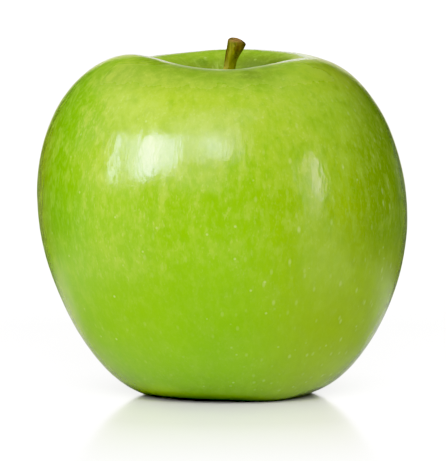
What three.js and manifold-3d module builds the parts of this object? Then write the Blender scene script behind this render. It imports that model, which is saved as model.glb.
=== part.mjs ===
// A green apple: the fruit body with its stem cavity and eye basin, the woody stem, and the dried calyx.
// Millimetres, +Z up, the fruit's front towards -Y. The origin is on the surface that the apple stands on,
// under the middle of the fruit.
import * as THREE from "three";
import { mergeVertices } from "three/addons/utils/BufferGeometryUtils.js";
import Module from "manifold-3d";

const { cos, sin, exp, PI } = Math;
const radians = THREE.MathUtils.degToRad;

// ---- Driving dimensions: fruit body ----

// The outline from the middle of the stem cavity to the middle of the eye basin, as the control points
// [radius, height] of a smooth cubic curve. A place along it is a "step": 0 at the first, 1 at the next.
const OUTLINE = [
  [0, 62.5], [4.2, 63], [9, 66.3], // floor and wall of the stem cavity
  [16.8, 70.6], [22.2, 71.1], [28.5, 68.5], // crown and shoulder
  [34.5, 62.6], [38.3, 54], [40, 43.8], [39.5, 33.6], [36.8, 23.2], // flank
  [32.2, 12.9], [25.4, 4], // taper
  [16.4, -0.9], [10.2, 1.5], [6.4, 4.6], [3, 6.4], [0, 6.8], // foot ring and eye basin
];
// Five uneven lobes, one over each seed chamber: how far each lifts the crown and lowers the foot ring.
const LOBES = [
  { azimuth: -32, crownRise: 2.4, footDrop: 0.55 },
  { azimuth: 38, crownRise: 2, footDrop: 0.5 },
  { azimuth: 84, crownRise: 2.3, footDrop: 0.45 },
  { azimuth: 130, crownRise: 1.2, footDrop: 0.55 },
  { azimuth: 213, crownRise: 3.4, footDrop: 0.5 },
];
// The stretches of the outline that are shaped: their middle step, how many steps they reach either way,
// and how sharply the lobes stand out there.
const CROWN = { step: 4.1, reach: 3.6, sharpness: 5 };
const GIRTH = { step: 8.6, reach: 5.6, sharpness: 5 };
const FOOT = { step: 13, reach: 2.8, sharpness: 18 };
const FOOT_TWIST = -25; // degrees from each lobe's crown round to its foot
const GIRTH_SWELL = 0.4; // how far each lobe pushes the flank out
const GIRTH_TILT = -1.1; // how much lower the widest line is at the right side than in the middle
const WIDEST = 40; // the fruit's radius at its widest line
const LEAN = -0.03; // sideways shift of the fruit's axis for each millimetre of height over its middle
const MIDDLE = 37; // half the fruit's height
const RINGS_PER_STEP = 3;
const SEGMENTS = 72;

// ---- Driving dimensions: stem and calyx ----

const FIT_GAP = 0.3; // clearance all round between a piece and the hole that it grows from
const SOCKET_DEPTH = 2.2; // the stem's foot below the floor of the stem cavity
// The stem's middle line and radius from its foot to its flared, broken-off end.
const STEM = [
  { at: [-0.9, 0, 60.9], radius: 1.4 },
  { at: [-0.6, 0.1, 63.6], radius: 1.3 },
  { at: [0.2, 0.1, 66.7], radius: 1.25 },
  { at: [1.4, 0, 70.2], radius: 1.33 },
  { at: [2.25, -0.1, 73.4], radius: 1.66 },
  { at: [2.95, -0.1, 76.7], radius: 1.88 },
];
const STEM_SIDES = 18;
const STEM_RINGS = 20;
// The lengthwise ridges of its bark: how many round it, how high, and their twist in radians on the way up.
const STEM_RIDGES = [
  { count: 3, height: 0.07, twist: 2 },
  { count: 5, height: 0.042, twist: -3 },
];
const STEM_BREAK = { tilt: 0.16, drop: 1 }; // the broken end falls gently to the front, steeply at the right
// The broken end's rounded rim and hollowed face, as shares of the end's radius and heights over it.
const STEM_END = [
  { share: 0.88, lift: 0.22 },
  { share: 0.5, lift: 0.1 },
];
const EYE = { radius: 3.4, depth: 2.3 }; // the pit at the middle of the basin, which holds the calyx
const CUP_SIDES = 30;
const SEPALS = 5;
const SEPAL_STRAY = 0.06; // how far a sepal strays round from its even place, as a share of their spacing
// A sepal's middle line, as [distance from the calyx's axis, drop below the eye], with its half width there.
const SEPAL = [
  { at: [2.3, -0.9], halfWidth: 1.2 },
  { at: [2.7, 0.9], halfWidth: 1.45 },
  { at: [2.3, 2.4], halfWidth: 1.25 },
  { at: [3, 3.9], halfWidth: 0.85 },
  { at: [4.9, 4.7], halfWidth: 0.3 },
];
const SEPAL_THICKNESS = 0.62;
const SEPAL_RINGS = 8;
const STAMENS = 9;
const STAMEN = { radius: 0.26, spread: 1.3, uneven: 0.25, sides: 5 };
// A stamen from its root to its swollen tip: drop below the eye, and shares of its spread and its radius.
const STAMEN_LINE = [
  { drop: -0.8, out: 0.5, thick: 1 },
  { drop: 1.96, out: 0.8, thick: 0.85 },
  { drop: 2.8, out: 1, thick: 1.3 },
];

// ---- Shared shapes ----

// A closed solid through rings of points that all have the same count, each ring seen from its end of the row
// running anticlockwise, with a fan to the ring's middle at both ends.
function loft(rings) {
  const sides = rings[0].length;
  const middle = (ring) => {
    const sum = ring.reduce((total, point) => total.add(point), new THREE.Vector3());
    return sum.divideScalar(sides);
  };
  const points = [...rings.flat(), middle(rings[0]), middle(rings.at(-1))];
  const index = [];
  for (let k = 0; k < sides; k++) {
    const next = (k + 1) % sides;
    for (let r = 0; r + 1 < rings.length; r++) {
      const low = r * sides;
      const high = low + sides;
      index.push(low + k, low + next, high + next, low + k, high + next, high + k);
    }
    const last = (rings.length - 1) * sides;
    index.push(points.length - 2, next, k, points.length - 1, last + k, last + next);
  }
  return new THREE.BufferGeometry().setFromPoints(points).setIndex(index);
}

// Smooth curves through the given places and through a number that goes with each, on one shared parameter.
function curveWith(places, numbers) {
  const curve = (points) => new THREE.CatmullRomCurve3(points, false, "catmullrom");
  const line = curve(places);
  const along = curve(numbers.map((number) => new THREE.Vector3(number, 0, 0)));
  return (t) => ({
    point: line.getPoint(t),
    tangent: line.getTangent(t),
    number: along.getPoint(t).x,
  });
}

// 1 at t = 0, falling smoothly to 0 at t = -1 and t = 1, and 0 beyond.
const bell = (t) => (Math.abs(t) < 1 ? (1 - t * t) ** 3 : 0);

// ---- Fruit body ----

// The uniform cubic B-spline of OUTLINE at a step. The outline is mirrored past both of its ends, so that
// it crosses the axis level.
function outlinePoint(step) {
  const last = OUTLINE.length - 1;
  const from = Math.min(Math.floor(step), last - 1);
  const u = step - from;
  const weights = [
    (1 - u) ** 3,
    3 * u ** 3 - 6 * u ** 2 + 4,
    -3 * u ** 3 + 3 * u ** 2 + 3 * u + 1,
    u ** 3,
  ];
  const point = new THREE.Vector2();
  weights.forEach((weight, k) => {
    const at = from + k - 1;
    const inside = at < 0 ? 1 : at > last ? last - 1 : at;
    const [radius, height] = OUTLINE[inside];
    point.x += (weight / 6) * (at === inside ? radius : -radius);
    point.y += (weight / 6) * height;
  });
  return point;
}

// The lobes' sum at an azimuth, each lobe a smooth bump round the fruit.
function lobes(azimuth, size, sharpness) {
  const bump = (lobe) => size(lobe) * exp(sharpness * (cos(azimuth - radians(lobe.azimuth)) - 1));
  return LOBES.reduce((sum, lobe) => sum + bump(lobe), 0);
}

// The point of the fruit's surface over a place on its outline.
function shaped(outline, step, azimuth) {
  const crown = bell((step - CROWN.step) / CROWN.reach);
  const girth = bell((step - GIRTH.step) / GIRTH.reach);
  const foot = bell((step - FOOT.step) / FOOT.reach);
  const rise = crown * lobes(azimuth, (lobe) => lobe.crownRise, CROWN.sharpness);
  const drop = foot * lobes(azimuth - radians(FOOT_TWIST), (lobe) => lobe.footDrop, FOOT.sharpness);
  const radius = outline.x + girth * lobes(azimuth, () => GIRTH_SWELL, GIRTH.sharpness);
  const x = radius * cos(azimuth) + LEAN * (outline.y - MIDDLE);
  const tilt = (girth * GIRTH_TILT * x) / WIDEST;
  return new THREE.Vector3(x, radius * sin(azimuth), Math.max(outline.y + rise - drop + tilt, 0));
}

// Turned from the outline, with a blind socket for the stem and the eye's pit, then shaped by the lobes,
// the lean and the tilt, and cut level where it stands.
function fruitBody() {
  const lastStep = OUTLINE.length - 1;
  const socket = { radius: STEM[0].radius + FIT_GAP, floor: OUTLINE[0][1] - SOCKET_DEPTH };
  const pit = { radius: EYE.radius, roof: OUTLINE[lastStep][1] + EYE.depth };
  const skin = Array.from({ length: lastStep * RINGS_PER_STEP + 1 }, (_, ring) => {
    const step = ring / RINGS_PER_STEP;
    return { step, outline: outlinePoint(step) };
  });
  const clearOfHoles = ({ step, outline }) => {
    const hole = step < lastStep / 2 ? socket : pit;
    return outline.x > hole.radius + FIT_GAP;
  };
  const top = (x, y) => ({ step: 0, outline: new THREE.Vector2(x, y) });
  const under = (x, y) => ({ step: lastStep, outline: new THREE.Vector2(x, y) });
  const rows = [
    top(0, socket.floor),
    top(socket.radius, socket.floor),
    top(socket.radius, outlinePoint(0).y),
    ...skin.filter(clearOfHoles),
    under(pit.radius, outlinePoint(lastStep).y),
    under(pit.radius, pit.roof),
    under(0, pit.roof),
  ].reverse();
  const turned = new THREE.LatheGeometry(rows.map((row) => row.outline), SEGMENTS);
  const position = turned.getAttribute("position");
  for (let k = 0; k < position.count; k++) {
    const { outline, step } = rows[k % rows.length];
    const segment = Math.floor(k / rows.length) % SEGMENTS;
    const azimuth = (segment / SEGMENTS) * 2 * PI;
    position.setXYZ(k, ...shaped(outline, step, azimuth));
  }
  return welded(turned);
}

// The geometry with only its positions, and every shared vertex merged.
function welded(geometry) {
  geometry.deleteAttribute("normal");
  geometry.deleteAttribute("uv");
  return mergeVertices(geometry, 1e-4);
}

// ---- Stem ----

// A slightly bent, ridged rod that flares towards its end, which is broken off at a slant and hollowed a
// little. The rings tip over to that slant only close to the end.
function stem() {
  const places = STEM.map(({ at }) => new THREE.Vector3(...at));
  const line = curveWith(places, STEM.map(({ radius }) => radius));
  const ridges = (angle, t) =>
    STEM_RIDGES.reduce((sum, r) => sum + r.height * sin(r.count * angle + r.twist * t), 0);
  const slant = (y, across) => STEM_BREAK.tilt * y - STEM_BREAK.drop * ((1 + across) / 2) ** 3;
  const ring = (t, share, lift) => {
    const { point, number: radius } = line(t);
    return Array.from({ length: STEM_SIDES }, (_, k) => {
      const angle = (k / STEM_SIDES) * 2 * PI;
      const out = share * (radius + ridges(angle, t));
      const x = out * cos(angle);
      const y = out * sin(angle);
      const rise = t ** 4 * slant(y, share * cos(angle)) + lift;
      return point.clone().add(new THREE.Vector3(x, y, rise));
    });
  };
  const rings = Array.from({ length: STEM_RINGS }, (_, k) => ring(k / (STEM_RINGS - 1), 1, 0));
  const end = STEM_END.map(({ share, lift }) => ring(1, share, lift));
  return loft([...rings, ...end]);
}

// ---- Calyx ----

// One withered sepal: a pointed, keeled blade that bends inwards over the eye and back out at its tip.
function sepal(turn) {
  const away = new THREE.Vector3(cos(turn), sin(turn), 0);
  const across = new THREE.Vector3(-sin(turn), cos(turn), 0);
  const places = SEPAL.map(({ at: [out, drop] }) => away.clone().multiplyScalar(out).setZ(-drop));
  const line = curveWith(places, SEPAL.map(({ halfWidth }) => halfWidth));
  const half = SEPAL_THICKNESS / 2;
  const rings = Array.from({ length: SEPAL_RINGS }, (_, k) => {
    const { point, tangent, number: halfWidth } = line(k / (SEPAL_RINGS - 1));
    const outward = new THREE.Vector3().crossVectors(tangent, across).normalize();
    const edge = (side, lift) => {
      const moved = point.clone().addScaledVector(across, side * halfWidth);
      return moved.addScaledVector(outward, lift);
    };
    return [
      edge(-1, 0),
      edge(-0.5, -half),
      edge(0, -half),
      edge(0.5, -half),
      edge(1, 0),
      edge(0, half),
    ];
  });
  return loft(rings);
}

// One withered stamen, leaning out from the middle of the cup. Its reach is its share of the full spread.
function stamen(turn, reach) {
  const rings = STAMEN_LINE.map(({ drop, out, thick }) =>
    Array.from({ length: STAMEN.sides }, (_, k) => {
      const angle = (-k / STAMEN.sides) * 2 * PI;
      const radius = STAMEN.radius * thick;
      const away = STAMEN.spread * reach * out;
      const x = away * cos(turn) + radius * cos(angle);
      const y = away * sin(turn) + radius * sin(angle);
      return new THREE.Vector3(x, y, -drop);
    }),
  );
  return loft(rings);
}

// The short cup in the eye's pit, with the sepals round its rim and the stamens inside them.
async function calyx() {
  const wasm = await Module();
  wasm.setup();
  const solid = (geometry) => {
    const { index, attributes } = welded(geometry);
    const vertProperties = attributes.position.array;
    const triVerts = new Uint32Array(index.array);
    return new wasm.Manifold(new wasm.Mesh({ numProp: 3, vertProperties, triVerts }));
  };
  const height = EYE.depth - FIT_GAP;
  const radius = EYE.radius - FIT_GAP;
  const cup = new THREE.CylinderGeometry(radius, radius, height, CUP_SIDES);
  const pieces = [cup.rotateX(PI / 2).translate(0, 0, height / 2)];
  for (let k = 0; k < SEPALS; k++) {
    const place = k + SEPAL_STRAY * sin(4 * k);
    pieces.push(sepal((place / SEPALS) * 2 * PI));
  }
  for (let k = 0; k < STAMENS; k++) {
    const reach = 1 - STAMEN.uneven * (1 - sin(5 * k));
    pieces.push(stamen((k / STAMENS) * 2 * PI, reach));
  }
  const joined = pieces.map(solid).reduce((sum, piece) => sum.add(piece)).getMesh();
  const geometry = new THREE.BufferGeometry();
  geometry.setAttribute("position", new THREE.BufferAttribute(joined.vertProperties, 3));
  return geometry.setIndex(new THREE.BufferAttribute(joined.triVerts, 1));
}

// ---- The apple ----

function piece(name, geometry, color, roughness) {
  const material = new THREE.MeshStandardMaterial({ color, roughness, metalness: 0 });
  const mesh = new THREE.Mesh(geometry, material);
  mesh.name = name;
  return mesh;
}

const group = new THREE.Group();
group.add(piece("fruit_body", fruitBody(), 0x93c413, 0.35));
group.add(piece("stem", stem(), 0x6b6a1e, 0.7));
const eyeLevel = outlinePoint(OUTLINE.length - 1).y;
const driedCalyx = piece("calyx", await calyx(), 0x6a5a3a, 0.9);
driedCalyx.position.set(LEAN * (eyeLevel - MIDDLE), 0, eyeLevel);
group.add(driedCalyx);

export default group;
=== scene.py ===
"""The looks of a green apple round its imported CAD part: skin, stem and dried calyx, floor, light and camera.

Shapes are made in millimetres from the CAD part's own driving dimensions, and scaled to metres at the end.
"""

import math
import bpy
import numpy as np
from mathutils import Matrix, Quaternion, Vector, noise


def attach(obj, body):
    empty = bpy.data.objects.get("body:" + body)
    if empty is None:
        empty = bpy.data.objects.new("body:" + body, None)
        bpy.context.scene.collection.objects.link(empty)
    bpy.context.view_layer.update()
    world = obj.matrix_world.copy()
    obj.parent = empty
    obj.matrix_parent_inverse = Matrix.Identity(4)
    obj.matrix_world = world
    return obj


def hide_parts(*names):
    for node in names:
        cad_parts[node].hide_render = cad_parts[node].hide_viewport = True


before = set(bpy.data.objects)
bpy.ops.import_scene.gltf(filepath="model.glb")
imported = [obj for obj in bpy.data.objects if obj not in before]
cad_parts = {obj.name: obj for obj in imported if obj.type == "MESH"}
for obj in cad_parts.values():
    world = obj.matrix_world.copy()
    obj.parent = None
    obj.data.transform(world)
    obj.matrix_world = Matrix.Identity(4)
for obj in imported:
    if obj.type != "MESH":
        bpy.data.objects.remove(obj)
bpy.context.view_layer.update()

# ---- Driving dimensions, as in the CAD part (millimetres, degrees) ----

OUTLINE = [
    (0, 62.5), (4.2, 63), (9, 66.3),
    (16.8, 70.6), (22.2, 71.1), (28.5, 68.5),
    (34.5, 62.6), (38.3, 54), (40, 43.8), (39.5, 33.6), (36.8, 23.2),
    (32.2, 12.9), (25.4, 4),
    (16.4, -0.9), (10.2, 1.5), (6.4, 4.6), (3, 6.4), (0, 6.8),
]
LAST_STEP = len(OUTLINE) - 1
LOBE_AZIMUTHS = np.radians([-32, 38, 84, 130, 213])
CROWN_RISES = [2.4, 2, 2.3, 1.2, 3.4]
FOOT_DROPS = [0.55, 0.5, 0.45, 0.55, 0.5]
CROWN = {"step": 4.1, "reach": 3.6, "sharpness": 5}
GIRTH = {"step": 8.6, "reach": 5.6, "sharpness": 5}
FOOT = {"step": 13, "reach": 2.8, "sharpness": 18}
FOOT_TWIST = math.radians(-25)
GIRTH_SWELL = 0.4
GIRTH_TILT = -1.1
WIDEST = 40
LEAN = -0.03
MIDDLE = 37
STEM = [
    ((-0.9, 0, 60.9), 1.4),
    ((-0.6, 0.1, 63.6), 1.3),
    ((0.2, 0.1, 66.7), 1.25),
    ((1.4, 0, 70.2), 1.33),
    ((2.25, -0.1, 73.4), 1.66),
    ((2.95, -0.1, 76.7), 1.88),
]
STEM_RIDGES = [(3, 0.07, 2), (5, 0.042, -3)]  # count, height, twist
STEM_BREAK = {"tilt": 0.16, "drop": 1}
SEPALS = 5
SEPAL_STRAY = 0.06
SEPAL = [((2.3, -0.9), 1.2), ((2.7, 0.9), 1.45), ((2.3, 2.4), 1.25), ((3, 3.9), 0.85), ((4.9, 4.7), 0.3)]

# ---- Detail finer than the CAD part (millimetres) ----

SKIN_RELIEF = [(0.07, 9, 3.1), (0.02, 2.6, 7.7)]  # height, size, seed
FLAT_BELOW = 3  # the relief fades out over this height, so the fruit rests as its solid does
STEM_FOOT = {"at": 0.1, "reach": 0.2, "swell": 0.22}
STEM_HOLLOW = {"at": 0.75, "reach": 0.21, "depth": 0.5}
STEM_BEAK = {"reach": 0.14, "length": 0.22}
STEM_END = [  # share of the width, lift
    (0.96, 0.1), (0.88, 0.2), (0.76, 0.2), (0.6, 0.12), (0.4, 0.05), (0.2, 0.03),
]
STEM_FIBRES = {"height": 0.035, "size": 0.55, "seed": 1.3, "squeeze": (1, 1, 0.2)}
STEM_LUMPS = {"height": 0.07, "size": 1.6, "seed": 5.9}
SEPAL_LEAF = {"half_thickness": 0.3, "thinning": 0.6, "curl": 0.5, "wave": 0.12}
STAMENS = 15
STAMEN_TURN = 2.4  # radians from one to the next
STAMEN_REACH = {"least": 0.75, "stray": 0.6}
STAMEN = [  # drop, share of the reach, half thickness
    (-0.6, 0.5, 0.12), (1, 0.7, 0.1), (2.2, 0.95, 0.09),
    (2.5, 1, 0.26), (2.9, 1.02, 0.24), (3.05, 1.02, 0.08),
]

MM = 0.001
TINY = 1e-9


# ---- Curves and meshes ----


def outline_points(steps):
    """Radius and height of the outline's cubic B-spline at each step."""
    start = np.minimum(np.floor(steps).astype(int), LAST_STEP - 1)
    u = steps - start
    weights = [(1 - u) ** 3, 3 * u**3 - 6 * u**2 + 4, -3 * u**3 + 3 * u**2 + 3 * u + 1, u**3]
    padded = np.array([(-OUTLINE[1][0], OUTLINE[1][1]), *OUTLINE, (-OUTLINE[-2][0], OUTLINE[-2][1])], float)
    return sum(w[:, None] / 6 * padded[start + k] for k, w in enumerate(weights))


def bell(t):
    """A smooth bump that is 1 at 0 and falls to 0 at -1 and 1."""
    return np.clip(1 - t * t, 0, 1) ** 3


def lobes(azimuth, sizes, sharpness):
    """The five lobes' swell at each azimuth."""
    return sum(s * np.exp(sharpness * (np.cos(azimuth - a) - 1)) for a, s in zip(LOBE_AZIMUTHS, sizes))


def fruit_surface(steps, azimuths):
    """The fruit's surface as points [step, azimuth, xyz]."""
    outline = outline_points(steps)
    radius, height = outline[:, 0][:, None], outline[:, 1][:, None]
    az = azimuths[None, :]
    crown = bell((steps - CROWN["step"]) / CROWN["reach"])[:, None]
    girth = bell((steps - GIRTH["step"]) / GIRTH["reach"])[:, None]
    foot = bell((steps - FOOT["step"]) / FOOT["reach"])[:, None]
    rise = crown * lobes(az, CROWN_RISES, CROWN["sharpness"])
    drop = foot * lobes(az - FOOT_TWIST, FOOT_DROPS, FOOT["sharpness"])
    out = radius + girth * lobes(az, [GIRTH_SWELL] * len(LOBE_AZIMUTHS), GIRTH["sharpness"])
    x = out * np.cos(az) + LEAN * (height - MIDDLE)
    z = height + rise - drop + girth * GIRTH_TILT * x / WIDEST
    return np.stack([x, out * np.sin(az), np.maximum(z, 0)], axis=-1)


def curve(points, t):
    """three.js's uniform Catmull-Rom curve through points, at t from 0 to 1."""
    p = np.array(points, float)
    p = np.concatenate([[2 * p[0] - p[1]], p, [2 * p[-1] - p[-2]]])
    spans = len(p) - 3
    i = min(int(t * spans), spans - 1)
    u = t * spans - i
    a, b, c, d = p[i : i + 4]
    return 0.5 * (2 * b + (c - a) * u + (2 * a - 5 * b + 4 * c - d) * u**2 + (3 * b - a - 3 * c + d) * u**3)


def noise_at(points, size, seed):
    """Smooth noise from -1 to 1 at each point, with features about size across."""
    flat = np.asarray(points, float).reshape(-1, 3) / size + seed
    values = [noise.noise(Vector(p)) for p in flat]
    return np.array(values).reshape(np.shape(points)[:-1])


def grid_faces(rows, columns):
    """Quads round a tube of rows rings, rings running anticlockwise seen from the end that comes last."""
    row, column = np.meshgrid(np.arange(rows - 1), np.arange(columns), indexing="ij")
    low = row * columns
    after = (column + 1) % columns
    quads = np.stack([low + column, low + after, low + columns + after, low + columns + column], axis=-1)
    return quads.reshape(-1, 4).tolist()


def add_mesh(name, points, faces, material):
    """A smooth object at the origin, made from points in millimetres."""
    mesh = bpy.data.meshes.new(name)
    mesh.from_pydata((np.asarray(points) * MM).tolist(), [], faces)
    mesh.validate()
    mesh.polygons.foreach_set("use_smooth", [True] * len(mesh.polygons))
    mesh.materials.append(material)
    thing = bpy.data.objects.new(name, mesh)
    bpy.context.scene.collection.objects.link(thing)
    return thing


def tube(rings):
    """Points and faces of a closed solid through rings [ring, side, xyz], with a fan at both ends."""
    count, sides = rings.shape[:2]
    points = np.concatenate([rings.reshape(-1, 3), [rings[0].mean(0)], [rings[-1].mean(0)]])
    faces = grid_faces(count, sides)
    first, last, top = count * sides, count * sides + 1, (count - 1) * sides
    for k in range(sides):
        after = (k + 1) % sides
        faces += [(first, after, k), (last, top + k, top + after)]
    return points, faces


# ---- Materials (lengths in millimetres, colours linear) ----

MEAN_RADIUS = 38
DARK_SPOT = (-4.5, 14.7, 71)
# Centre of the stem's shadow, painted on the front of the rim.
STEM_SHADOW_PLACE = (5.8, -24.4, 70.2)
STEM_LEAN = {"slope": 0.275, "start": -18.1}  # x of the stem's middle line, over z, where the stem shows
MIX = {"factor": 0, "a": 6, "b": 7, "result": 2}  # the Mix node's sockets for colours


class Graph:
    """Short ways to add shader nodes to a material. Inputs are numbers, colours or other nodes' outputs."""

    def __init__(self, name):
        self.material = bpy.data.materials.new(name)
        self.material.use_nodes = True
        self.tree = self.material.node_tree
        self.tree.nodes.clear()
        self.measures = {}

    def add(self, kind, inputs=(), **settings):
        """A node of this kind, with its inputs set or linked."""
        node = self.tree.nodes.new("ShaderNode" + kind)
        for key, value in settings.items():
            setattr(node, key, value)
        for key, value in dict(inputs).items():
            socket = node.inputs[key]
            if isinstance(value, bpy.types.NodeSocket):
                self.tree.links.new(value, socket)
            else:
                socket.default_value = value
        return node

    def math(self, operation, *values):
        return self.add("Math", enumerate(values), operation=operation).outputs[0]

    def times(self, product, *others):
        """The product of all the values."""
        for other in others:
            product = self.math("MULTIPLY", product, other)
        return product

    def plus(self, total, *others):
        """The sum of all the values."""
        for other in others:
            total = self.math("ADD", total, other)
        return total

    def vector(self, operation, *values):
        return self.add("VectorMath", enumerate(values), operation=operation)

    def xyz(self, x, y, z):
        return self.add("CombineXYZ", enumerate((x, y, z))).outputs[0]

    def split(self, vector):
        return self.add("SeparateXYZ", {0: vector}).outputs

    def distance(self, vector, place):
        return self.vector("DISTANCE", vector, place).outputs["Value"]

    def length(self, vector):
        return self.vector("LENGTH", vector).outputs["Value"]

    def noise(self, vector, scale, detail=2, roughness=0.5):
        inputs = {"Vector": vector, "Scale": scale, "Detail": detail, "Roughness": roughness}
        return self.add("TexNoise", inputs).outputs["Fac"]

    def specks(self, vector, spacing, wide, soft):
        """Round spots about spacing apart, of uneven strength, full within soft and gone at wide."""
        cells = self.add("TexVoronoi", {"Vector": vector, "Scale": 1 / spacing})
        spot = self.ramp(cells.outputs["Distance"], wide / spacing, soft / spacing)
        strength = self.add("SeparateColor", {0: cells.outputs["Color"]}).outputs[0]
        return self.times(spot, self.ramp(strength, 0.2, 0.9))

    def ramp(self, value, low, high, to_low=0, to_high=1):
        """A smooth step as value goes from low to high."""
        inputs = {"Value": value, "From Min": low, "From Max": high, "To Min": to_low, "To Max": to_high}
        return self.add("MapRange", inputs, interpolation_type="SMOOTHSTEP").outputs["Result"]

    def zone(self, **spans):
        """A soft-edged region: for each measure, where it begins and is full, and perhaps the shares there."""
        return self.times(*(self.ramp(self.measures[name], *span) for name, span in spans.items()))

    def mix(self, factor, a, b):
        """Colour a where the factor is 0, and colour b where it is 1."""
        node = self.add("Mix", data_type="RGBA")
        self.tree.links.new(factor, node.inputs[MIX["factor"]])
        for key, colour in (("a", a), ("b", b)):
            socket = node.inputs[MIX[key]]
            if isinstance(colour, bpy.types.NodeSocket):
                self.tree.links.new(colour, socket)
            else:
                socket.default_value = (*colour, 1)
        return node.outputs[MIX["result"]]

    def tint(self, ground, colour, *shares):
        """The ground with the colour laid over it, by the product of the shares."""
        return self.mix(self.times(*shares), ground, colour)

    def millimetres(self):
        """The place on the part, in millimetres."""
        here = self.add("TexCoord").outputs["Object"]
        scale = self.vector("SCALE", here)
        scale.inputs["Scale"].default_value = 1 / MM
        return scale.outputs[0]

    def finish(self, **inputs):
        shader = self.add("BsdfPrincipled", {key.replace("_", " "): value for key, value in inputs.items()})
        output = self.add("OutputMaterial")
        self.tree.links.new(shader.outputs[0], output.inputs[0])
        return self.material


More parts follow.
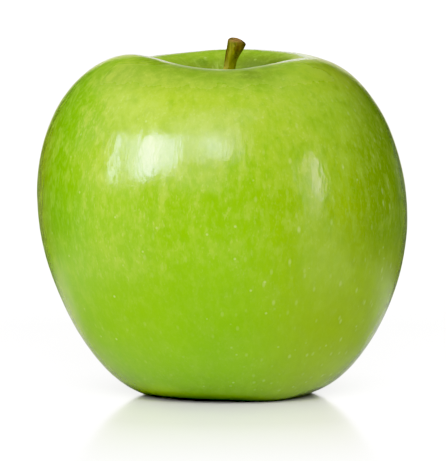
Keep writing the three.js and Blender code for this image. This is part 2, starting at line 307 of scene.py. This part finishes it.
def skin_material():
    """Green apple skin: zones of ground colour, soft mottling, lenticels, and low relief in its gloss."""
    g = Graph("apple_skin")
    at = g.millimetres()
    x, y, z = g.split(at)
    flat = g.xyz(x, y, 0)
    radius = g.length(flat)
    g.measures = {"x": x, "y": y, "z": z, "radius": radius}
    heading_x, heading_y, _ = g.split(g.vector("NORMALIZE", flat).outputs[0])
    arc_x = g.times(heading_x, WIDEST)
    arc_y = g.times(heading_y, WIDEST)
    down = g.times(g.math("ARCTAN2", radius, g.math("SUBTRACT", z, MIDDLE)), MEAN_RADIUS)
    streaky = g.xyz(arc_x, arc_y, g.times(down, 0.28))
    upright = g.xyz(x, y, g.times(z, 0.5))

    # Ground colour: grass green, olive on the right and painted lighter there as painted light, yellower at
    # the crown, leaf green on the upper left.
    broad = g.noise(at, 0.045, 1)
    ground = g.mix(g.ramp(broad, 0.35, 0.65), (0.124, 0.245, 0.002), (0.138, 0.267, 0.003))
    lower_left = g.zone(x=(-6, -18), z=(46, 32))
    ground = g.tint(ground, (0.124, 0.234, 0.002), lower_left, 0.8)
    # Olive on the right: a yellower green, also painted lighter, which is painted light from the right.
    olive_and_painted_light = g.zone(x=(0, 25))
    ground = g.tint(ground, (0.203, 0.286, 0.003), olive_and_painted_light, 0.8)
    crown = g.zone(z=(38, 68))
    ground = g.tint(ground, (0.220, 0.335, 0.021), crown, 0.85)
    leafy = g.zone(x=(-25, -36), z=(28, 40), y=(-2, -14, 0.3, 1))
    ground = g.tint(ground, (0.08, 0.182, 0.001), leafy, 0.8)
    left_crown = g.zone(x=(-17, -30), z=(50, 60), y=(-2, -14, 0.1, 1))
    ground = g.tint(ground, (0.085, 0.2, 0.001), left_crown, 0.6)

    # The left edge as the front sees it: tawny above, straw below with a wandering border.
    left_edge = g.times(g.zone(y=(-20, -8)), g.zone(y=(22, -4)))
    tawny = g.times(left_edge, g.zone(x=(-32, -39)), g.zone(z=(22, 42)))
    ground = g.tint(ground, (0.135, 0.165, 0.002), tawny, 0.75)
    wander = g.plus(z, g.times(g.noise(at, 0.12), 12))
    straw = g.times(left_edge, g.zone(x=(-14, -24)), g.ramp(wander, 50, 26))
    ground = g.tint(ground, (0.18, 0.255, 0.003), straw, 0.65)

    # The foot's left end is paler, painted light where little light reaches it, and the flank on the right
    # darker, painted shade.
    painted_light_toe = g.zone(z=(5.5, 1), y=(8, -6), x=(-6, -15))
    ground = g.tint(ground, (0.26, 0.4, 0.01), painted_light_toe, 0.8)
    painted_shade_flank = g.zone(x=(25, 34), z=(26, 38))
    ground = g.tint(ground, (0.105, 0.195, 0.001), painted_shade_flank, 0.7)

    # Inside the stem cavity the skin is a duller, deeper green, and darker still as painted shade in the
    # hollow, most on its right wall.
    cavity = g.zone(radius=(20, 13), z=(55, 62))
    ground = g.tint(ground, (0.095, 0.14, 0.011), cavity, 0.85)
    right_wall = g.times(cavity, g.zone(x=(1, 6)))
    ground = g.tint(ground, (0.065, 0.1, 0.007), right_wall, 0.6)

    # Round the rim: the right shoulder is yellower and painted lighter as painted light, and the brow in front
    # of the stem darker as painted shade under the rim.
    shoulder = g.zone(x=(12, 22), z=(64, 70))
    ground = g.tint(ground, (0.27, 0.345, 0.01), shoulder, 0.5)
    brow = g.zone(z=(65.5, 70.5), y=(-12, -20))
    ground = g.tint(ground, (0.14, 0.21, 0.01), brow, g.zone(x=(17, 9)), 0.8)

    # Faint pale rays and a dark spot in the cavity, and the stem's shadow painted in front of its rim.
    fan = g.xyz(g.times(heading_x, 9), g.times(heading_y, 9), g.times(radius, 0.12))
    rays = g.times(g.ramp(g.noise(fan, 1, 2, 0.6), 0.5, 0.72), cavity)
    ground = g.tint(ground, (0.27, 0.34, 0.08), rays, g.zone(x=(-1, 5, 0.45, 0.1)))
    spot = g.distance(at, DARK_SPOT)
    ground = g.tint(ground, (0.05, 0.11, 0.006), g.ramp(spot, 1.9, 0.5, 0, 0.6))
    # Painted shadow of the stem, soft-edged, on the front of the rim.
    stem_shadow = g.plus(g.distance(at, STEM_SHADOW_PLACE), g.times(g.noise(at, 0.5), 3))
    ground = g.tint(ground, (0.09, 0.14, 0.006), g.ramp(stem_shadow, 5.2, 1.8, 0, 0.6))

    # Soft clouds of paler and darker green, and fine pale flecks that gather in them, strongest high up.
    upper = g.times(g.zone(z=(14, 62, 0.2, 1)), g.ramp(leafy, 0, 1, 1, 0.7), g.ramp(cavity, 0, 1, 1, 0.35))
    clouds = g.noise(g.xyz(x, y, g.times(z, 0.7)), 0.3, 3, 0.6)
    ground = g.tint(ground, (0.25, 0.35, 0.035), g.ramp(clouds, 0.48, 0.7), upper, 0.4)
    ground = g.tint(ground, (0.115, 0.235, 0.001), g.ramp(clouds, 0.5, 0.3), upper, 0.3)
    mottle = g.ramp(g.noise(upright, 1, 2, 0.6), 0.45, 0.7)
    ground = g.tint(ground, (0.26, 0.37, 0.05), mottle, upper, 0.25)
    blotches = g.noise(upright, 0.6)
    ground = g.tint(ground, (0.25, 0.36, 0.04), g.ramp(blotches, 0.5, 0.7), upper, 0.3)
    ground = g.tint(ground, (0.1, 0.21, 0.001), g.ramp(blotches, 0.47, 0.3), upper, 0.25)
    flecks = g.times(g.ramp(g.noise(upright, 1.9, 1), 0.56, 0.76), g.ramp(clouds, 0.36, 0.6, 0.3, 1))
    ground = g.tint(ground, (0.32, 0.42, 0.09), flecks, upper, 0.27)

    # Lenticels: small round dots all over, and longer dashes, mostly on the right side.
    dots = g.specks(at, 3.2, 0.38, 0.12)
    ground = g.tint(ground, (0.36, 0.45, 0.15), dots, 0.38)
    dashes = g.specks(upright, 1.8, 0.5, 0.15)
    ground = g.tint(ground, (0.31, 0.39, 0.1), dashes, g.zone(x=(-10, 25, 0.25, 1)), 0.5)

    # The skin's slight waviness breaks up the highlights. It is duller right under the rim.
    waves = g.noise(g.xyz(arc_x, arc_y, g.times(down, 0.6)), 0.4, 2, 0.6)
    ribs = g.noise(streaky, 1, 2, 0.6)
    grain = g.noise(at, 2.2, 2, 0.6)
    relief = g.plus(waves, g.times(ribs, 0.38), g.times(grain, 0.2))
    bump = g.add("Bump", {"Strength": 0.38, "Distance": 0.0002, "Height": relief})
    dull = g.times(brow, g.zone(z=(72.8, 72)))
    return g.finish(
        Base_Color=ground,
        Roughness=g.plus(g.ramp(clouds, 0.3, 0.7, 0.12, 0.2), g.times(dull, 0.2)),
        IOR=1.5,
        Subsurface_Weight=0.1,
        Subsurface_Radius=(0.0015, 0.0018, 0.0003),
        Subsurface_Scale=1.0,
        Normal=bump.outputs[0],
    )


def stem_material():
    """Fibrous brown-green bark, tan at the base, yellower and painted lighter low on the right, painted shade
    down its left edge, with scabs and a rusty end.
    """
    g = Graph("stem_bark")
    at = g.millimetres()
    x, y, z = g.split(at)
    across = g.math("SUBTRACT", x, g.plus(g.times(z, STEM_LEAN["slope"]), STEM_LEAN["start"]))
    g.measures = {"x": x, "y": y, "z": z, "across": across}
    fibres = g.noise(g.xyz(x, y, g.times(z, 0.16)), 1.6, 3, 0.6)
    bark = g.mix(g.ramp(fibres, 0.35, 0.65), (0.075, 0.07, 0.001), (0.16, 0.155, 0.004))
    green = g.noise(at, 0.35, 1)
    bark = g.tint(bark, (0.10, 0.13, 0.001), g.ramp(green, 0.4, 0.62, 0, 0.4))
    # Lower on the right: a yellower tan, also painted lighter as painted light.
    lower = g.zone(across=(-0.6, 0.9), z=(74.8, 73.2))
    bark = g.tint(bark, (0.23, 0.24, 0.003), lower, 0.65)
    base = g.zone(z=(73.2, 70), x=(2.2, -0.2))
    bark = g.tint(bark, (0.28, 0.25, 0.03), base, 0.8)
    # Painted shade down the stem's left edge, on its front.
    left_edge_painted_shade = g.zone(across=(-0.75, -1.5), y=(0.6, -0.2))
    bark = g.tint(bark, (0.045, 0.04, 0.002), left_edge_painted_shade, 0.65)
    scabs = g.times(g.ramp(g.noise(at, 0.8, 2, 0.6), 0.54, 0.66), g.zone(z=(68, 72)))
    bark = g.tint(bark, (0.05, 0.03, 0.002), scabs, 0.65)
    rust = g.zone(across=(0, 0.7), z=(73.6, 75.2))
    bark = g.tint(bark, (0.2, 0.11, 0.02), rust, 0.4)
    flecks = g.specks(at, 1.5, 0.3, 0.12)
    bark = g.tint(bark, (0.22, 0.21, 0.03), flecks, 0.6)
    pores = g.noise(at, 2.6)
    bark = g.tint(bark, (0.03, 0.025, 0.002), g.ramp(pores, 0.6, 0.75), 0.5)
    end = g.zone(z=(75.9, 76.7), x=(1.4, 3, 0.4, 0.85))
    bark = g.tint(bark, (0.22, 0.115, 0.035), end)
    tip = g.zone(x=(3.9, 4.6), z=(74.2, 75.6))
    bark = g.tint(bark, (0.035, 0.028, 0.003), tip, 0.7)
    relief = g.plus(fibres, g.times(pores, 0.4))
    bump = g.add("Bump", {"Strength": 0.6, "Distance": 0.00025, "Height": relief})
    return g.finish(Base_Color=bark, Roughness=0.6, IOR=1.2, Normal=bump.outputs[0])


def calyx_material():
    """Dry brown sepals with a pale down on them."""
    g = Graph("dried_calyx")
    at = g.millimetres()
    blotches = g.noise(at, 1.1, 3, 0.6)
    brown = g.mix(g.ramp(blotches, 0.35, 0.68), (0.045, 0.03, 0.015), (0.23, 0.17, 0.085))
    down = g.noise(at, 7, 2, 0.7)
    brown = g.tint(brown, (0.38, 0.34, 0.24), g.ramp(down, 0.5, 0.75), 0.6)
    relief = g.plus(blotches, g.times(down, 0.5))
    bump = g.add("Bump", {"Strength": 0.8, "Distance": 0.0003, "Height": relief})
    return g.finish(Base_Color=brown, Roughness=0.85, IOR=1.4, Normal=bump.outputs[0])


# ---- Fruit ----


def make_fruit():
    """The skin as one closed mesh, finer than the CAD solid and with low relief."""
    rings_per_step, segments = 12, 360
    steps = np.linspace(0, LAST_STEP, LAST_STEP * rings_per_step + 1)[1:-1]
    azimuths = np.arange(segments) / segments * 2 * math.pi
    points = fruit_surface(steps, azimuths)
    along = np.gradient(points, axis=0)
    around = (np.roll(points, -1, axis=1) - np.roll(points, 1, axis=1)) / 2
    normals = np.cross(around, along)
    normals /= np.maximum(np.linalg.norm(normals, axis=-1, keepdims=True), TINY)
    outward = np.sign((normals * (points - (0, 0, MIDDLE))).sum(-1).mean())
    relief = sum(height * noise_at(points, size, seed) for height, size, seed in SKIN_RELIEF)
    relief *= np.clip(points[..., 2] / FLAT_BELOW, 0, 1)
    points = points + outward * normals * relief[..., None]
    top = np.array([[points[0, :, 0].mean(), 0, points[0, :, 2].mean()]])
    eye = np.array([[points[-1, :, 0].mean(), 0, points[-1, :, 2].mean()]])
    flat = points.reshape(-1, 3)
    faces = [tuple(reversed(f)) for f in grid_faces(len(steps), segments)]
    first, last, bottom = len(flat), len(flat) + 1, (len(steps) - 1) * segments
    for k in range(segments):
        after = (k + 1) % segments
        faces += [(first, k, after), (last, bottom + after, bottom + k)]
    return add_mesh("apple_fruit", np.concatenate([flat, top, eye]), faces, skin_material())


# ---- Stem ----


def make_stem():
    """The stem as one closed mesh, with fibres and lumps, and a hollow and a beak on its right."""
    sides, rings = 96, 170
    angle = np.arange(sides) / sides * 2 * math.pi
    middle_line = [at for at, _ in STEM]
    radii = [[radius] for _, radius in STEM]

    def ring(t, share, lift):
        foot = STEM_FOOT["swell"] * bell((t - STEM_FOOT["at"]) / STEM_FOOT["reach"])
        ridge = sum(h * np.sin(n * angle + twist * t) for n, h, twist in STEM_RIDGES)
        right = (1 + np.cos(angle)) / 2
        hollow = STEM_HOLLOW["depth"] * bell((t - STEM_HOLLOW["at"]) / STEM_HOLLOW["reach"]) * right
        beak = STEM_BEAK["length"] * bell((t - 1) / STEM_BEAK["reach"]) * right**3
        out = share * (curve(radii, t)[0] * (1 + foot) + ridge - hollow + beak)
        x, y = out * np.cos(angle), out * np.sin(angle)
        across = share * np.cos(angle)
        z = t**4 * (STEM_BREAK["tilt"] * y - STEM_BREAK["drop"] * ((1 + across) / 2) ** 3) + lift
        return curve(middle_line, t) + np.stack([x, y, z], axis=-1)

    along = np.linspace(0, 1, rings)
    made = np.array([ring(t, 1, 0) for t in along] + [ring(1, share, lift) for share, lift in STEM_END])
    axis = np.array([curve(middle_line, t) for t in along] + [curve(middle_line, 1)] * len(STEM_END))
    outward = made - axis[:, None]
    outward /= np.maximum(np.linalg.norm(outward, axis=-1, keepdims=True), TINY)
    fibre = noise_at(made * STEM_FIBRES["squeeze"], STEM_FIBRES["size"], STEM_FIBRES["seed"])
    lumps = noise_at(made, STEM_LUMPS["size"], STEM_LUMPS["seed"])
    made = made + outward * (STEM_FIBRES["height"] * fibre + STEM_LUMPS["height"] * lumps)[..., None]
    points, faces = tube(made)
    return add_mesh("apple_stem", points, faces, stem_material())


# ---- Calyx ----


def sepal_rings(k):
    """Rings from the root to the tip of a sepal: a thin leaf whose sides curl up."""
    lengthwise, crosswise, step = 26, 9, 0.01
    path, widths = [at for at, _ in SEPAL], [[half] for _, half in SEPAL]
    turn = (k + SEPAL_STRAY * math.sin(4 * k)) / SEPALS * 2 * math.pi
    away = np.array([math.cos(turn), math.sin(turn), 0])
    across = np.array([-math.sin(turn), math.cos(turn), 0])
    rings = []
    for t in np.linspace(0, 1, lengthwise):
        out, drop = curve(path, t)
        half = curve(widths, t)[0]
        ahead = curve(path, min(t + step, 1)) - curve(path, max(t - step, 0))
        outward = np.cross(away * ahead[0] - np.array([0, 0, ahead[1]]), across)
        outward /= np.linalg.norm(outward)
        place = away * out - np.array([0, 0, drop])
        curl = SEPAL_LEAF["curl"] * t * half
        ring = []
        for s in (*np.linspace(-1, 1, crosswise), *np.linspace(1, -1, crosswise)[1:-1]):
            inner_face = len(ring) >= crosswise
            thick = SEPAL_LEAF["half_thickness"] * (1 - s * s) * (1 - SEPAL_LEAF["thinning"] * t)
            lift = curl * s * s + (thick if inner_face else -thick)
            wave = SEPAL_LEAF["wave"] * math.sin(5 * t + 3 * s + 2 * k)
            ring.append(place + across * s * half + outward * (lift + wave))
        rings.append(ring)
    return rings


def stamen_rings(k):
    """Rings down a stamen: a fine thread that ends in a small knob."""
    sides = 8
    turn = k * STAMEN_TURN
    reach = STAMEN_REACH["least"] + STAMEN_REACH["stray"] * math.sin(5 * k)
    rings = []
    for drop, share, thick in STAMEN:
        x, y = reach * share * math.cos(turn), reach * share * math.sin(turn)
        angles = -np.arange(sides) / sides * 2 * math.pi
        rings.append([[x + thick * math.cos(a), y + thick * math.sin(a), -drop] for a in angles])
    return rings


def make_calyx():
    """Five sepals and a tuft of stamens in the eye basin, in one mesh."""
    eye = outline_points(np.array([float(LAST_STEP)]))[0][1]
    centre = np.array([LEAN * (eye - MIDDLE), 0, eye])
    points, faces = [], []
    for rings in (*map(sepal_rings, range(SEPALS)), *map(stamen_rings, range(STAMENS))):
        made, quads = tube(np.array(rings))
        start = sum(len(p) for p in points)
        points.append(made + centre)
        faces.extend(tuple(start + i for i in reversed(f)) for f in quads)
    return add_mesh("apple_calyx", np.concatenate(points), faces, calyx_material())


fruit = make_fruit()
stem = make_stem()
calyx = make_calyx()
PIECES = [(fruit, "fruit_body", "skin"), (stem, "stem", "stem_wood"), (calyx, "calyx", "dried_calyx")]
for piece, node, slot in PIECES:
    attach(piece, "root")
    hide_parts(node)


# ---- Floor (millimetres) ----

BACKLIGHT = (1, 1, 0.62)
FLOOR = {"sides": 96, "radius": 1600, "below": 0.03}
GLOSSY_WITHIN = 55
MATT_BEYOND = 145
# Within this radius the floor is painted black to bounced light, as shade at the foot; beyond the next it is
# plain again.
HIDDEN_WITHIN = 19
SEEN_BEYOND = 23.3


def make_floor():
    """A white floor, glossy near the apple and matt farther off. The apple's gloss sees instead a dim glow
    painted on it.
    """
    g = Graph("studio_floor")
    at = g.millimetres()
    x, y, _ = g.split(at)
    radius = g.length(g.vector("MULTIPLY", at, (1, 1, 0)).outputs[0])
    aside = g.math("DIVIDE", y, g.math("MAXIMUM", g.math("ABSOLUTE", x), 1))
    g.measures = {"x": x, "y": y, "radius": radius, "aside": aside}

    # What the camera sees.
    near = {"Value": radius, "From Min": GLOSSY_WITHIN, "From Max": MATT_BEYOND, "To Min": 1, "To Max": 0}
    gloss = g.math("POWER", g.add("MapRange", near).outputs["Result"], 0.85)
    matt = g.add("BsdfDiffuse", {"Color": (0.9, 0.9, 0.89, 1)})
    shiny = g.add("BsdfPrincipled", {"Base Color": (0.93, 0.91, 0.87, 1), "Roughness": 0.13, "IOR": 1.5})
    seen = g.add("MixShader", {0: gloss, 1: matt.outputs[0], 2: shiny.outputs[0]})

    # What the apple's gloss sees: a glow painted on the floor, standing in for its reflection, faint and
    # brighter at both sides in front, at the foot and behind.
    front_left = g.times(g.zone(aside=(0.3, 0)), g.zone(aside=(-1.6, -0.9)), g.zone(x=(0, -30)))
    front_right = g.times(g.zone(aside=(-0.1, -0.5)), g.zone(aside=(-1.3, -0.9)), g.zone(x=(0, 30)))
    sides = g.times(g.zone(radius=(50, 100)), g.plus(g.times(front_left, 0.5), g.times(front_right, 0.55)))
    foot = g.times(g.zone(radius=(18, 25)), g.zone(radius=(48, 30, 0, 0.32)))
    behind = g.zone(y=(5, 40), radius=(150, 90, 0, 0.3))
    round_about = g.times(g.zone(radius=(170, 105, 0.25, 1), y=(-60, 60, 0.15, 0.3)), g.zone(radius=(20, 50)))
    gleam = g.add("Emission", {"Strength": g.plus(round_about, sides, foot, behind)})
    # A painted glow far behind, in the backlight's colour, seen only by the apple's gloss.
    far_back = g.zone(aside=(2.5, 7), y=(100, 250, 0, 0.9))
    backlight = g.add("Emission", {"Color": (*BACKLIGHT, 1), "Strength": far_back})
    gleam = g.add("AddShader", {0: gleam.outputs[0], 1: backlight.outputs[0]})

    # Painted shade: the floor under the apple is black to bounced light, so it throws no light back on its
    # foot.
    rays = g.add("LightPath").outputs
    under = g.length(g.vector("MULTIPLY", at, (1.12, 1, 0)).outputs[0])
    painted_shade_under = g.times(rays["Is Diffuse Ray"], g.ramp(under, SEEN_BEYOND, HIDDEN_WITHIN))
    shade_black = g.add("BsdfDiffuse", {"Color": (0, 0, 0, 1)})
    seen = g.add("MixShader", {0: painted_shade_under, 1: seen.outputs[0], 2: shade_black.outputs[0]})
    mixed = g.add("MixShader", {0: rays["Is Glossy Ray"], 1: seen.outputs[0], 2: gleam.outputs[0]})
    g.tree.links.new(mixed.outputs[0], g.add("OutputMaterial").inputs[0])

    angles = np.arange(FLOOR["sides"]) / FLOOR["sides"] * 2 * math.pi
    ring = [(FLOOR["radius"] * math.cos(a), FLOOR["radius"] * math.sin(a), -FLOOR["below"]) for a in angles]
    return add_mesh("studio_floor", ring, [tuple(range(FLOOR["sides"]))], g.material)


floor = make_floor()


# ---- Light ----


def light_only(lamp, *things):
    """The lamp lights nothing but these things."""
    group = bpy.data.collections.new(lamp.name + "_receivers")
    for thing in things:
        group.objects.link(thing)
    lamp.light_linking.receiver_collection = group


def away_to(azimuth, elevation):
    """The direction at these degrees. Azimuth 0 is towards the front and grows to the right."""
    a, e = math.radians(azimuth), math.radians(elevation)
    return Vector((math.sin(a) * math.cos(e), -math.cos(a) * math.cos(e), math.sin(e)))


def place_lamp(lamp, azimuth, elevation, things, roll=0):
    """An object for the lamp, facing the apple and unseen by the camera."""
    away = away_to(azimuth, elevation)
    thing = bpy.data.objects.new(lamp.name, lamp)
    thing.location = Vector(LAMP_AIM) + away * LAMP_DISTANCE
    turn = away.to_track_quat("Z", "Y") @ Quaternion((0, 0, 1), math.radians(roll))
    thing.rotation_euler = turn.to_euler()
    thing.visible_camera = False
    bpy.context.scene.collection.objects.link(thing)
    light_only(thing, *things)
    return thing


def softbox(name, azimuth, elevation, roll, width, height, radiance, *things):
    """A rectangular light facing the apple, with its turn and size in degrees."""
    lamp = bpy.data.lights.new(name, "AREA")
    lamp.shape = "RECTANGLE"
    lamp.size = 2 * LAMP_DISTANCE * math.tan(math.radians(width) / 2)
    lamp.size_y = 2 * LAMP_DISTANCE * math.tan(math.radians(height) / 2)
    lamp.energy = radiance * math.pi * lamp.size * lamp.size_y
    return place_lamp(lamp, azimuth, elevation, things, roll)


def far_light(name, azimuth, elevation, softness, strength, *things):
    """An even light from far away, which makes no highlight."""
    lamp = bpy.data.lights.new(name, "SUN")
    lamp.angle = math.radians(softness)
    lamp.energy = strength
    place_lamp(lamp, azimuth, elevation, things).visible_glossy = False


LAMP_AIM = (0, 0, 0.037)
LAMP_DISTANCE = 4
ALL = (fruit, stem, calyx)
HIGHLIGHTS = [  # name, then in degrees azimuth, elevation, roll, width and height, then radiance
    ("key_panel", -47, 25, 13, 35, 24, 6),
    ("key_glow", -60, 20, 6, 8, 12, 2.5),
    ("key_core_left", -50.5, 25, 7, 5.5, 24, 12),
    ("key_core_middle", -44.7, 26, 7, 4.5, 25, 15),
    ("key_core_right", -38, 28, 7, 3.2, 21, 12),
    ("key_side", -31, 31, 7, 6, 19, 5),
    ("key_strip", -72, 19, 7, 4.5, 21, 15),
    ("key_haze", -18, 34, 0, 24, 17, 3),
    ("key_veil", -14, 30, 0, 30, 40, 1.2),
    ("left_veil", -74, 7, 0, 44, 13, 0.8),
    ("left_high", -100, 22, 0, 24, 16, 0.5),
    ("top_left", -100, 52, 0, 60, 34, 0.35),
    ("top_veil", -70, 42, 0, 50, 36, 0.6),
    ("upper_haze", -8, 49, 0, 38, 18, 1.3),
    ("crown_veil", 3, 63, 0, 34, 14, 1.3),
    ("second_core", 2, 32.5, 0, 11, 12, 4.5),
    ("second_skirt", 2, 35, 0, 24, 17, 2),
    ("second_panel", 3, 41, 0, 24, 20, 1.8),
    ("right_strip", 64, 16, 0, 3, 19, 11),
    ("right_panel", 57.5, 10, 0, 14, 25, 1.9),
    ("rim_glint", 153, -1, 0, 16, 10, 0.14),
    ("rim_gleam", 179, 15, 0, 6, 14, 1.3),
]
BACKDROPS = [  # the same, in the backlight's colour
    ("backdrop", 180, 4, 0, 24, 18, 0.8),
    ("rim_right", 174, 22, 0, 8, 16, 0.6),
    ("rim_left", -172, 18, 0, 10, 18, 0.9),
]
FAR_LIGHTS = [  # name, then in degrees azimuth, elevation and softness, then strength and what it lights
    ("key_fill", -47, 26, 34, 1.2, *ALL),
    ("crown_fill", -165, 34, 50, 0.3, fruit, calyx),
    ("overhead", 0, 80, 60, 0.32, *ALL),
    ("right_fill", 70, 10, 60, 0.4, *ALL),
    ("shoulder_fill", 100, 60, 50, 0.5, fruit, calyx),
    ("floor_front", 0, 30, 50, 8.0, floor),
    ("floor_top", 0, 90, 70, 1.9, floor),
]
HORIZON = {"lamps": 8, "elevation": 30, "height": 60, "radiance": 2.1}  # a ring that the floor alone reflects
for lamp in HIGHLIGHTS:
    softbox(*lamp, *ALL)
for lamp in BACKDROPS:
    softbox(*lamp, *ALL).data.color = BACKLIGHT
for lamp in FAR_LIGHTS:
    far_light(*lamp)
width = 360 / HORIZON["lamps"]
for turn in range(HORIZON["lamps"]):
    place = (turn * width, HORIZON["elevation"], 0)
    glow = softbox(f"horizon_{turn}", *place, width, HORIZON["height"], HORIZON["radiance"], floor)
    glow.visible_diffuse = False


# ---- World ----

ROOM_BRIGHTNESS = 0.018
BACKDROP_BRIGHTNESS = 2


def make_world():
    """White for the camera and dim for everything else."""
    world = bpy.data.worlds.new("studio")
    world.use_nodes = True
    tree = world.node_tree
    tree.nodes.clear()
    path = tree.nodes.new("ShaderNodeLightPath")
    room = tree.nodes.new("ShaderNodeBackground")
    room.inputs[0].default_value = (*(ROOM_BRIGHTNESS,) * 3, 1)
    white = tree.nodes.new("ShaderNodeBackground")
    white.inputs[0].default_value = (*(BACKDROP_BRIGHTNESS,) * 3, 1)
    mix = tree.nodes.new("ShaderNodeMixShader")
    out = tree.nodes.new("ShaderNodeOutputWorld")
    tree.links.new(path.outputs["Is Camera Ray"], mix.inputs[0])
    tree.links.new(room.outputs[0], mix.inputs[1])
    tree.links.new(white.outputs[0], mix.inputs[2])
    tree.links.new(mix.outputs[0], out.inputs[0])
    bpy.context.scene.world = world


make_world()


# ---- Exposure and camera ----

BLACK_LEVEL = 0.009
WHITE_LEVEL = 1.6
SHOULDER = [(0.3, 0.3), (0.5, 0.5), (0.8, 0.69), (1.1, 0.855), (1.35, 0.95)]  # brightness made, shown
settings = bpy.context.scene.view_settings
settings.view_transform = "Standard"
settings.use_curve_mapping = True
settings.curve_mapping.black_level = (BLACK_LEVEL,) * 3
settings.curve_mapping.white_level = (WHITE_LEVEL,) * 3
for seen, shown in SHOULDER:
    settings.curve_mapping.curves[3].points.new(seen / WHITE_LEVEL, shown)
settings.curve_mapping.update()

CAMERA_PLACE = (0, -1.1, 0.126)
CAMERA_AIM = (0.0001, 0, 0.0354)
CAMERA_LENS = 398.7
camera = bpy.data.objects.new("camera", bpy.data.cameras.new("camera"))
camera.location = CAMERA_PLACE
camera.rotation_euler = (Vector(CAMERA_AIM) - camera.location).to_track_quat("-Z", "Y").to_euler()
camera.data.lens = CAMERA_LENS
bpy.context.scene.collection.objects.link(camera)
bpy.context.scene.camera = camera
